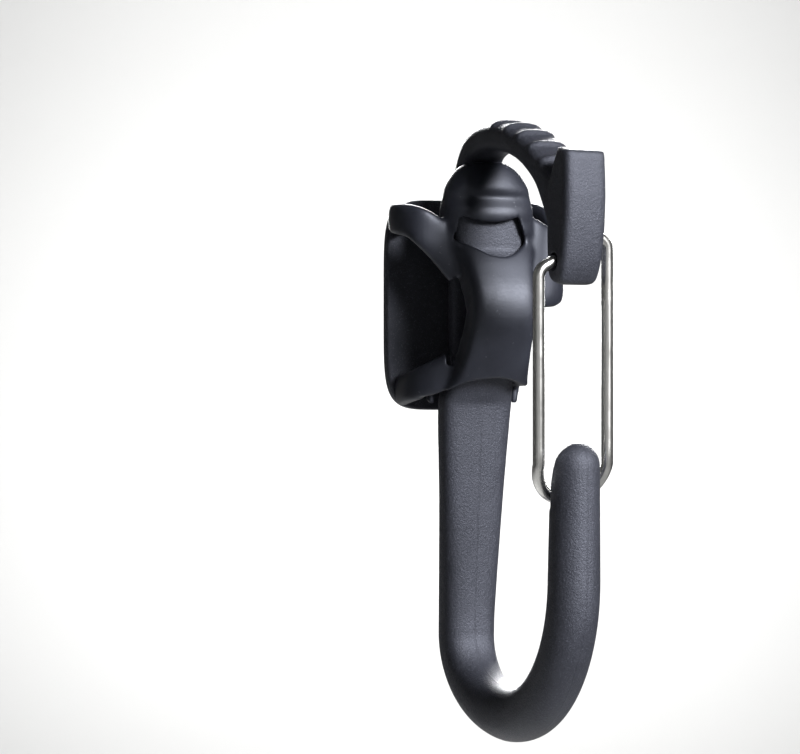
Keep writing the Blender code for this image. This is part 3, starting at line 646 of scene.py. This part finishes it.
class Shader:
    """A Principled material under construction."""

    def __init__(self, name):
        self.material = bpy.data.materials.new(name)
        self.material.use_nodes = True
        self.tree = self.material.node_tree
        self.surface = self.tree.nodes["Principled BSDF"]
        self.place = self.tree.nodes.new("ShaderNodeTexCoord")

    def node(self, kind, inputs=None, **settings):
        """A node with its settings and inputs; an input that is a socket is linked."""
        made = self.tree.nodes.new(kind)
        for key, value in settings.items():
            setattr(made, key, value)
        for key, value in (inputs or {}).items():
            self.feed(made.inputs[key], value)
        return made

    def feed(self, socket, value):
        """Link a socket, or set its value."""
        if isinstance(value, bpy.types.NodeSocket):
            self.tree.links.new(value, socket)
        else:
            socket.default_value = value

    def noise(self, scale, detail=3.0, roughness=0.5, vector=None, distortion=0.0):
        """Noise between 0 and 1 on the object's own coordinates."""
        made = self.node("ShaderNodeTexNoise", {
            "Vector": vector or self.place.outputs["Object"], "Scale": scale, "Detail": detail,
            "Roughness": roughness, "Distortion": distortion})
        return made.outputs["Fac"]

    def spread(self, value, low, high, to_low=0.0, to_high=1.0):
        """A value carried from one range to another, kept within it."""
        made = self.node("ShaderNodeMapRange", {
            "Value": value, "From Min": low, "From Max": high, "To Min": to_low, "To Max": to_high})
        return made.outputs["Result"]

    def math(self, operation, first, second=0.0):
        """One sum."""
        made = self.node("ShaderNodeMath", {0: first, 1: second}, operation=operation)
        return made.outputs["Value"]

    def blend(self, amount, first, second):
        """A colour between two."""
        made = self.node("ShaderNodeMix", data_type="RGBA")
        self.feed(made.inputs["Factor"], amount)
        for socket, value in ((made.inputs[6], first), (made.inputs[7], second)):
            self.feed(socket, (*value, 1.0) if not isinstance(value, bpy.types.NodeSocket) else value)
        return made.outputs[2]

    def bump(self, height, strength, distance, below=None):
        """A bump in metres, on top of another bump if one is given."""
        inputs = {"Height": height, "Strength": strength, "Distance": distance}
        if below is not None:
            inputs["Normal"] = below
        return self.node("ShaderNodeBump", inputs).outputs["Normal"]

    def finish(self, **inputs):
        """Set or link the shader's own inputs."""
        for key, value in inputs.items():
            self.feed(self.surface.inputs[key.replace("_", " ")], value)
        return self.material


def moulded_nylon(name, base, pale, mould_seam=True):
    """Fine spark-eroded grain, slow mottling, pale specks, flow marks and a mould seam."""
    shader = Shader(name)
    grain = shader.noise(4300.0, 3.0, 0.75)
    pits = shader.noise(2300.0, 2.0, 0.6)
    mottle = shader.noise(160.0, 4.0, 0.6)
    flow = shader.noise(300.0, 2.0, 0.5, distortion=3.0)
    specks = shader.spread(shader.noise(5200.0, 1.0, 0.5), 0.60, 0.74)
    tone = shader.math("MULTIPLY", shader.spread(mottle, 0.35, 0.70), 0.40)
    tone = shader.math("ADD", tone, shader.math("MULTIPLY", shader.spread(grain, 0.35, 0.70), 0.60))
    body = shader.blend(tone, base, pale)
    body = shader.blend(shader.math("MULTIPLY", specks, 0.40), body, NYLON_SPECK)
    rough = shader.math("ADD", shader.spread(mottle, 0.3, 0.7, 0.47, 0.54),
                        shader.spread(grain, 0.3, 0.7, -0.07, 0.08))
    normal = shader.bump(flow, 0.10, 0.00010)
    normal = shader.bump(pits, 1.0, 0.00009, normal)
    normal = shader.bump(grain, 1.0, 0.00010, normal)
    if mould_seam:
        split = shader.node("ShaderNodeSeparateXYZ", {0: shader.place.outputs["Object"]})
        aside = shader.math("ABSOLUTE", split.outputs["Y"])
        ridge = shader.spread(aside, 0.00006, 0.00018, 1.0, 0.0)
        below_saddle = shader.spread(split.outputs["Z"], -0.0205, -0.0215, 0.0, 1.0)
        normal = shader.bump(shader.math("MULTIPLY", ridge, below_saddle), 0.6, 0.00008, normal)
    return shader.finish(Base_Color=body, Roughness=rough, Normal=normal, Specular_IOR_Level=0.45,
                         Specular_Tint=(0.80, 0.84, 1.0, 1.0))


def keeper_rubber(name, base, bloom):
    """Smooth elastomer: soft gloss, faint bloom, a few fine specks."""
    shader = Shader(name)
    cloud = shader.noise(110.0, 4.0, 0.6)
    fine = shader.noise(2900.0, 2.0, 0.6)
    swell = shader.noise(420.0, 2.0, 0.5)
    specks = shader.spread(shader.noise(1500.0, 1.0, 0.5), 0.74, 0.80)
    body = shader.blend(shader.spread(cloud, 0.35, 0.75), base, bloom)
    body = shader.blend(shader.math("MULTIPLY", specks, 0.35), body, RUBBER_SPECK)
    rough = shader.math("ADD", shader.spread(cloud, 0.3, 0.7, 0.43, 0.53),
                        shader.spread(fine, 0.3, 0.7, -0.03, 0.04))
    normal = shader.bump(swell, 0.20, 0.00008)
    normal = shader.bump(fine, 0.30, 0.00003, normal)
    return shader.finish(Base_Color=body, Roughness=rough, Normal=normal, Specular_IOR_Level=0.42,
                         Specular_Tint=(0.82, 0.86, 1.0, 1.0))


def drawn_wire(name, base):
    """Stainless spring wire: fine draw lines along its length and slight dulling."""
    shader = Shader(name)
    stretch = shader.node("ShaderNodeMapping", {"Vector": shader.place.outputs["UV"],
                                                "Scale": (1.0, 0.015, 1.0)})
    lines = shader.noise(26.0, 4.0, 0.7, vector=stretch.outputs["Vector"])
    dull = shader.noise(240.0, 3.0, 0.6)
    dark = tuple(0.72 * value for value in base)
    body = shader.blend(shader.spread(lines, 0.3, 0.7), dark, base)
    rough = shader.math("ADD", shader.spread(dull, 0.3, 0.7, 0.20, 0.28),
                        shader.spread(lines, 0.3, 0.7, -0.04, 0.05))
    normal = shader.bump(lines, 0.22, 0.00003)
    return shader.finish(Base_Color=body, Roughness=rough, Normal=normal, Metallic=1.0)


def matt_paper(name, base):
    """Plain backdrop."""
    shader = Shader(name)
    fibre = shader.noise(900.0, 3.0, 0.6)
    pale = tuple(min(1.0, value * 1.02) for value in base)
    return shader.finish(Base_Color=shader.blend(fibre, base, pale), Roughness=0.9)


# ---- operators -------------------------------------------------------------------------------
def finish_piece(item, look, body, node):
    """Material, slot, body and the CAD node that the piece stands for."""
    item.data.materials.clear()
    item.data.materials.append(look)
    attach(item, body)
    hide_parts(node)


class HarnessCarrierHook(bpy.types.Operator):
    """Build the moulded hook with its arch, ribs and gate block"""

    bl_idname = "harness_carrier.hook"
    bl_label = "Hook"

    def execute(self, context):
        sizes = context.scene.carrier_hook
        gate = context.scene.carrier_gate
        colours = context.scene.carrier_colours
        spine = np.vstack([spine_rows(sizes), basket_rows(sizes), nose_rows(sizes)])
        bodies = [carried_section(spine, SIDEWAYS), carried_section(arch_rows(sizes), SIDEWAYS),
                  carried_section(block_rows(sizes), SIDEWAYS), *rib_grids(sizes)]
        cuts = [nose_seat(gate), *gate_bores(sizes, gate)]
        hook = moulded("hook_moulding", bodies, cuts, sizes.voxel, HOOK_EASING)
        look = moulded_nylon("moulded_nylon", colours.nylon, colours.nylon_pale)
        finish_piece(hook, look, "carrier", "hook_frame")
        return {"FINISHED"}


class HarnessCarrierGate(bpy.types.Operator):
    """Build the bent wire gate"""

    bl_idname = "harness_carrier.gate"
    bl_label = "Wire gate"

    def execute(self, context):
        sizes = context.scene.carrier_gate
        path = gate_path(sizes, context.scene.carrier_hook)
        wire = placed("gate_wire", wire_mesh("gate_wire", path, sizes.wire_radius))
        look = drawn_wire("drawn_wire", context.scene.carrier_colours.steel)
        finish_piece(wire, look, "gate", "wire_gate")
        return {"FINISHED"}


class HarnessCarrierKeeper(bpy.types.Operator):
    """Build the rubber keeper: hood, window, saddle and arms"""

    bl_idname = "harness_carrier.keeper"
    bl_label = "Rubber keeper"

    def execute(self, context):
        sizes = context.scene.carrier_keeper
        colours = context.scene.carrier_colours
        bodies = [carried_section(sleeve_rows(), SIDEWAYS), *arm_grids(sizes)]
        cuts = keeper_cuts(sizes, context.scene.carrier_hook)
        keeper = moulded("keeper_moulding", bodies, list(cuts.values()), sizes.voxel, KEEPER_EASING)
        look = keeper_rubber("keeper_rubber", colours.rubber, colours.rubber_pale)
        finish_piece(keeper, look, "carrier", "rubber_keeper")
        return {"FINISHED"}


class HarnessCarrierPlate(bpy.types.Operator):
    """Build the back plate"""

    bl_idname = "harness_carrier.plate"
    bl_label = "Back plate"

    def execute(self, context):
        colours = context.scene.carrier_colours
        low, high = (np.array(corner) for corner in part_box("back_plate"))
        half = (high - low) / 2
        middle = (low + high) / 2
        edge = 0.0005
        angle = np.linspace(0, np.pi / 2, 6)
        inset = edge * (1 - np.sin(angle))
        depth = edge * (1 - np.cos(angle))
        x = np.concatenate([low[0] + depth, high[0] - depth[::-1]])
        inset = np.concatenate([inset, inset[::-1]])
        rows = np.zeros((len(x), 6))
        rows[:, 0] = x
        rows[:, 2] = middle[2]
        rows[:, 3] = half[1] - inset
        rows[:, 4] = half[2] - inset
        rows[:, 5] = 5.5
        mesh = shell_mesh("webbing_plate", [carried_section(rows, SIDEWAYS, 160)])
        plate = placed("webbing_plate", mesh)
        mesh.shade_smooth()
        mesh.set_sharp_from_angle(angle=math.radians(40))
        look = moulded_nylon("plate_nylon", colours.plate, colours.nylon, mould_seam=False)
        finish_piece(plate, look, "carrier", "back_plate")
        return {"FINISHED"}


class HarnessCarrierStage(bpy.types.Operator):
    """Build the round seamless backdrop, the lights and the camera"""

    bl_idname = "harness_carrier.stage"
    bl_label = "Studio"

    def execute(self, context):
        add_backdrop(context.scene.carrier_colours.backdrop)
        add_lights()
        add_camera()
        return {"FINISHED"}


# ---- studio ----------------------------------------------------------------------------------
VIEW_AZIMUTH = math.radians(63)
VIEW_DISTANCE = 0.600
VIEW_ASIDE = -0.009256
VIEW_HEIGHT = -0.0133
VIEW_LENS = 145.2
FLOOR_DROP = 0.20
LIGHT_REACH = 0.80
KEY_AZIMUTH = 107
KEY_ELEVATION = 25
KEY_SIZE = 0.30
KEY_POWER = 1.35
KEY_BEAM = 30
WASH_SIZE = 0.30
WASH_POWER = 2.6
WASH_BEAM = 50
BACK_ELEVATION = 18
BACK_SIZE = 0.50
BACK_POWER = 4.5
BACK_BEAM = 70
ROOM_STRENGTH = 0.06


def toward(azimuth, elevation):
    """Unit direction from the object to a viewer: azimuth 0 stands at -Y, 90 at +X."""
    return np.array([math.sin(azimuth) * math.cos(elevation), -math.cos(azimuth) * math.cos(elevation),
                     math.sin(elevation)])


def add_backdrop(base):
    """A floor that curves up all round into a wall: a profile turned about the upright axis.

    At angle t of the bend the radius is the flat's edge plus the bend times sin t, and the
    height is the bend times 1 - cos t.
    """
    floor = CAD_BOX[0][2] - FLOOR_DROP
    flat = 0.85
    curve = 0.45
    angle = np.linspace(0, np.pi / 2, 16)[1:]
    radius = np.concatenate([[0.05, 0.2, 0.5, flat], flat + curve * np.sin(angle), [flat + curve]])
    height = np.concatenate([np.zeros(4), curve * (1 - np.cos(angle)), [1.6]])
    turn = np.arange(96) * 2 * np.pi / 96
    grid = np.stack([radius[:, None] * np.cos(turn), radius[:, None] * np.sin(turn),
                     np.repeat(floor + height[:, None], 96, axis=1)], axis=-1)
    count, around = grid.shape[:2]
    index = np.arange(count * around).reshape(count, around)
    beside = np.roll(index, -1, axis=1)
    quads = np.stack([index[:-1], index[1:], beside[1:], beside[:-1]], axis=-1).reshape(-1, 4)
    mesh = bpy.data.meshes.new("studio_sweep")
    mesh.from_pydata(grid.reshape(-1, 3).tolist(), [], [index[0].tolist(), *quads.tolist()])
    mesh.shade_smooth()
    sweep = placed("studio_sweep", mesh)
    mesh.materials.append(matt_paper("backdrop_paper", base))


def add_softbox(name, stand, aim, size, power, spread):
    """A square soft light on a stand, aimed at a point; `spread` is its beam in degrees."""
    light = bpy.data.lights.new(name, "AREA")
    light.energy = power
    light.size = size
    light.spread = math.radians(spread)
    item = bpy.data.objects.new(name, light)
    bpy.context.scene.collection.objects.link(item)
    away = np.subtract(stand, aim)
    item.location = stand
    item.rotation_euler = direction_euler(away / np.linalg.norm(away))
    item.visible_camera = False


def direction_euler(away):
    """Rotation whose local +Z points along `away`, with local +X level."""
    pitch = math.acos(np.clip(away[2], -1, 1))
    heading = math.atan2(away[0], -away[1])
    return (pitch, 0.0, heading)


def add_lights():
    """A key from the front right and above, a light on the wall behind, one at the back, a weak room."""
    middle = np.array([0.025, 0.0, -0.02])
    key = toward(math.radians(KEY_AZIMUTH), math.radians(KEY_ELEVATION))
    add_softbox("key", middle + key * LIGHT_REACH, middle, KEY_SIZE, KEY_POWER, KEY_BEAM)
    behind = toward(VIEW_AZIMUTH + math.pi, 0.0)
    add_softbox("wall_wash", behind * 0.25 + UPWARDS * LIGHT_REACH, behind * 1.25 - UPWARDS * 0.05, WASH_SIZE,
                WASH_POWER, WASH_BEAM)
    back = toward(VIEW_AZIMUTH + math.pi, math.radians(BACK_ELEVATION))
    add_softbox("back", middle + back * LIGHT_REACH, middle, BACK_SIZE, BACK_POWER, BACK_BEAM)
    world = bpy.data.worlds.new("studio_world")
    world.use_nodes = True
    room = world.node_tree.nodes["Background"]
    room.inputs["Color"].default_value = (0.95, 0.97, 1.0, 1.0)
    room.inputs["Strength"].default_value = ROOM_STRENGTH
    bpy.context.scene.world = world


def add_camera():
    """A long lens, level with the carrier's middle."""
    lens = bpy.data.cameras.new("view")
    lens.sensor_width = 36.0
    lens.lens = VIEW_LENS
    lens.clip_start = 0.01
    lens.clip_end = 20.0
    item = bpy.data.objects.new("view", lens)
    bpy.context.scene.collection.objects.link(item)
    away = toward(VIEW_AZIMUTH, 0.0)
    aside = np.array([math.cos(VIEW_AZIMUTH), math.sin(VIEW_AZIMUTH), 0.0])
    item.location = away * VIEW_DISTANCE + aside * VIEW_ASIDE + UPWARDS * VIEW_HEIGHT
    item.rotation_euler = direction_euler(away)
    bpy.context.scene.camera = item
    bpy.context.scene.view_settings.view_transform = "Standard"


class HarnessCarrierPanel(bpy.types.Panel):
    """Sizes, colours and the build steps"""

    bl_idname = "VIEW3D_PT_harness_carrier"
    bl_label = "Harness gear carrier"
    bl_space_type = "VIEW_3D"
    bl_region_type = "UI"
    bl_category = "Carrier"

    def draw(self, context):
        for group in GROUPS:
            box = self.layout.box()
            settings = getattr(context.scene, group)
            for key in settings.__annotations__:
                box.prop(settings, key)
        for step in STEPS:
            self.layout.operator(step.bl_idname)


GROUPS = {
    "carrier_hook": CarrierHookSizes,
    "carrier_gate": CarrierGateSizes,
    "carrier_keeper": CarrierKeeperSizes,
    "carrier_colours": CarrierColours,
}
STEPS = (HarnessCarrierHook, HarnessCarrierGate, HarnessCarrierKeeper, HarnessCarrierPlate,
         HarnessCarrierStage)


def register():
    """Register the settings, the steps and the panel."""
    for group, kind in GROUPS.items():
        bpy.utils.register_class(kind)
        setattr(bpy.types.Scene, group, bpy.props.PointerProperty(type=kind))
    for kind in (*STEPS, HarnessCarrierPanel):
        bpy.utils.register_class(kind)


def unregister():
    """Undo register."""
    for kind in (HarnessCarrierPanel, *reversed(STEPS)):
        bpy.utils.unregister_class(kind)
    for group, kind in reversed(GROUPS.items()):
        delattr(bpy.types.Scene, group)
        bpy.utils.unregister_class(kind)


def main():
    """Build everything."""
    register()
    bpy.ops.harness_carrier.hook()
    bpy.ops.harness_carrier.gate()
    bpy.ops.harness_carrier.keeper()
    bpy.ops.harness_carrier.plate()
    bpy.ops.harness_carrier.stage()


if __name__ == "__main__":
    main()
